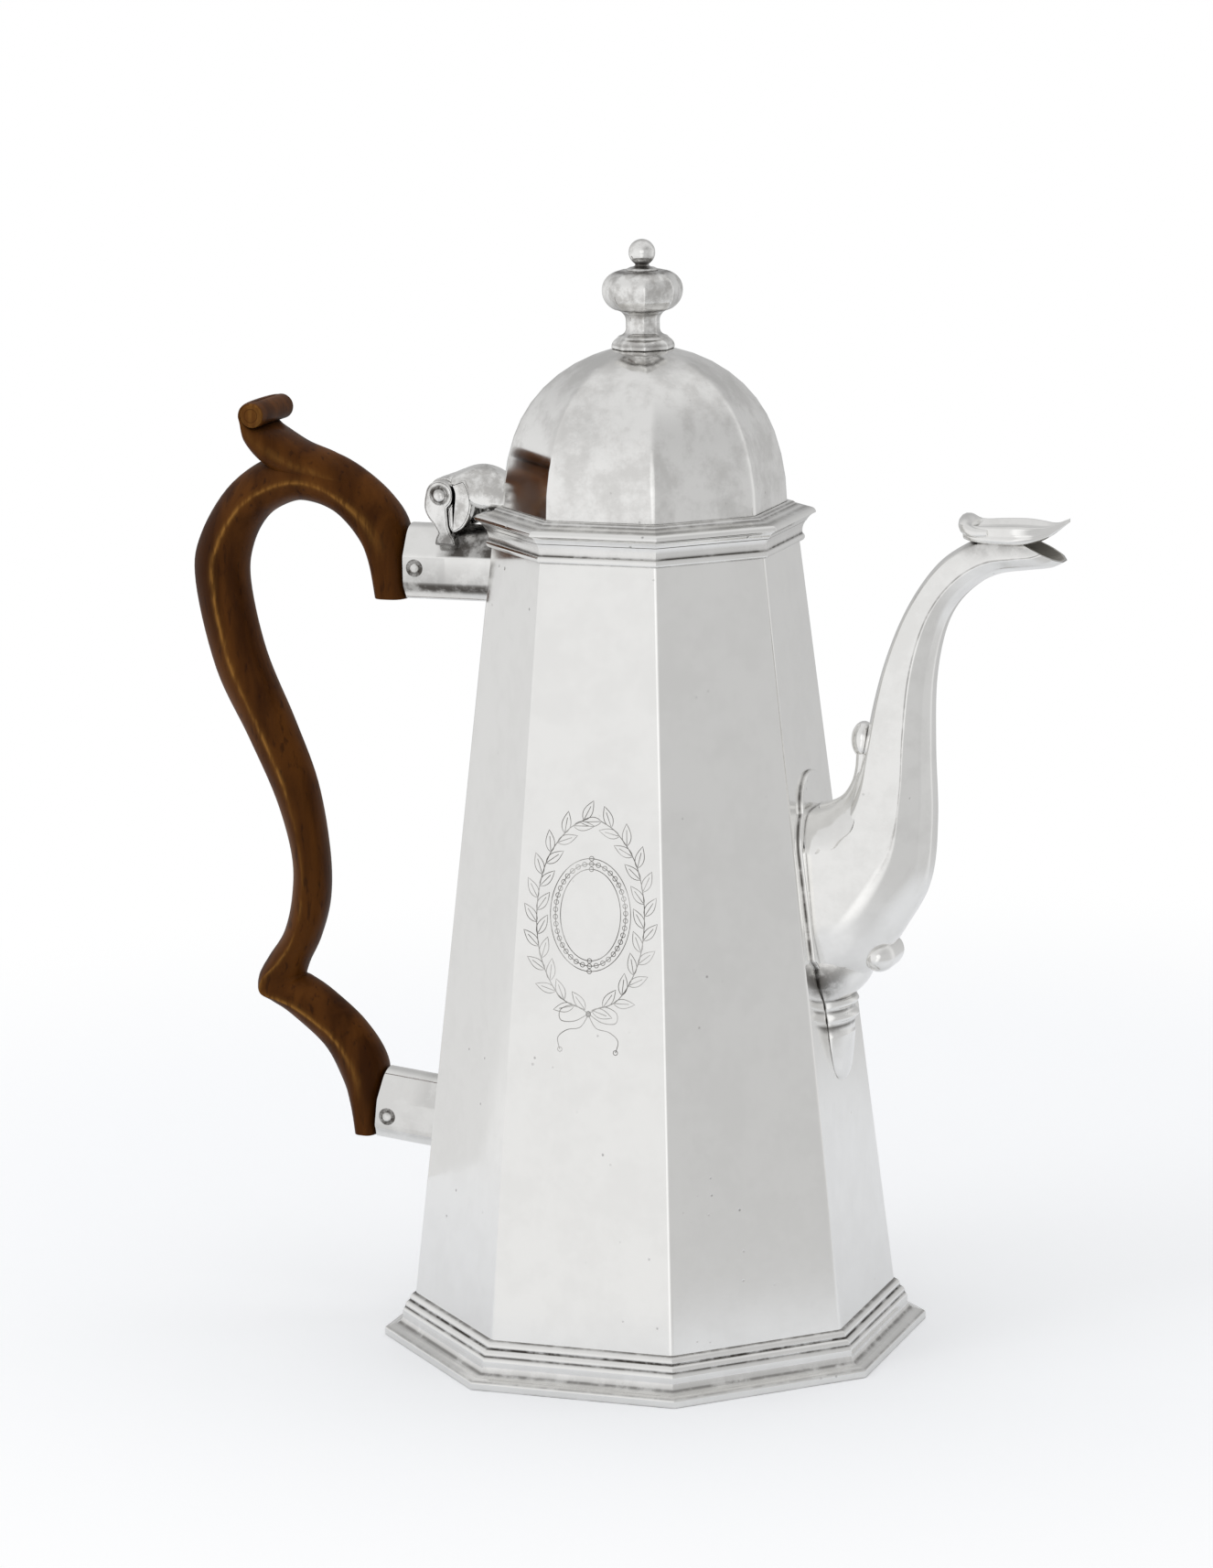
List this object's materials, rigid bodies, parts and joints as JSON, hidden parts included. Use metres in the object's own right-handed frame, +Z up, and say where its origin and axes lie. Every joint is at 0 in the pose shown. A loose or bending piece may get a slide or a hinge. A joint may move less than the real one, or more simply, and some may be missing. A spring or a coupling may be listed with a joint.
{
  "type": "coffee pot",
  "caption": "Octagonal silver coffee pot with a tapering body, faceted curved spout, hinged domed lid with a finial, and a carved wooden handle in silver sockets.",
  "frame": {"origin": "middle of the foot ring, on the surface that the pot stands on", "axes": "+Z up the pot's axis, +X towards the spout, -X towards the handle"},
  "size_m": [0.1997, 0.1108, 0.2409],
  "materials": {
    "silver": "polished",
    "fruitwood": "satin"
  },
  "bodies": {
    "pot": {"body_wall": "silver", "bottom_plate": "silver", "foot_moulding": "silver", "rim_moulding": "silver", "spout": "silver", "spout_hood": "silver", "spout_plate": "silver", "spout_drop": "silver", "spout_front_scroll": "silver", "spout_leaf_scroll": "silver", "upper_socket": "silver", "lower_socket": "silver", "upper_socket_pin": "silver", "lower_socket_pin": "silver", "hinge_stand": "silver", "hinge_pin": "silver", "handle": "fruitwood"},
    "lid": {"lid_dome": "silver", "lid_rim": "silver", "lid_bezel": "silver", "hinge_leaf": "silver", "finial_baluster": "silver", "finial_knop": "silver", "finial_nut": "silver"}
  },
  "joints": [
    {"name": "lid_hinge", "type": "hinge", "parent": "pot", "child": "lid", "pos_m": [-0.04465, 0, 0.1852], "axis": [0, -1, 0], "range_deg": [0, 100]}
  ]
}
